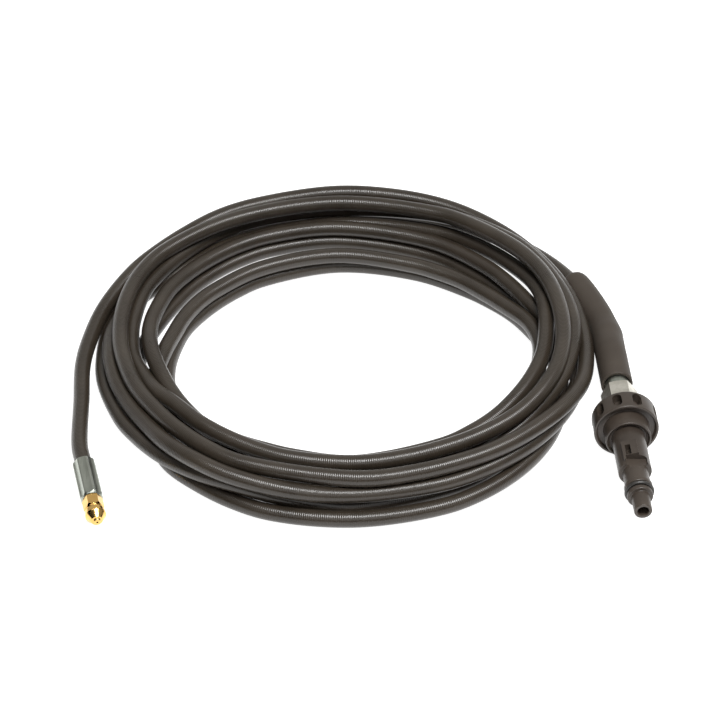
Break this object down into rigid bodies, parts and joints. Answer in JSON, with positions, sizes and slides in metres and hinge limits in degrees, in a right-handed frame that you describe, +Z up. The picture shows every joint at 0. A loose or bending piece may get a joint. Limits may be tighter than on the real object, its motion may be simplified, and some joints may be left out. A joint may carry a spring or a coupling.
{
  "type": "pipe cleaning jet hose",
  "caption": "Coiled high-pressure pipe cleaning hose with a brass jet nozzle at one end and a bend sleeve, hexagon coupling and bayonet gun adapter at the other.",
  "frame": {"origin": "on the floor under the middle of the outer box of the whole part", "axes": "+Z up from the floor that the coil lies on; -Y the way that the bayonet adapter points; +X towards the adapter's side of the coil"},
  "size_m": [0.348, 0.3182, 0.0385],
  "materials": {
    "hose_rubber": "satin black rubber cover with the fine cross ribs of its cloth wrap",
    "zinc": "zinc plated, slightly dull",
    "brass": "bright turned brass",
    "sleeve_rubber": "matte black rubber",
    "nickel": "bright nickel plate",
    "black_plastic": "satin black glass-filled plastic",
    "seal_rubber": "smooth black seal rubber"
  },
  "bodies": {
    "root": {"hose_coil": "hose_rubber", "hose_nozzle_lead": "hose_rubber", "hose_inlet_lead": "hose_rubber", "nozzle_ferrule": "zinc", "nozzle_nipple": "brass", "jet_nozzle": "brass", "bend_sleeve": "sleeve_rubber", "inlet_ferrule": "zinc", "hex_coupling": "nickel", "bayonet_adapter": "black_plastic", "seal_ring": "seal_rubber"}
  },
  "joints": []
}
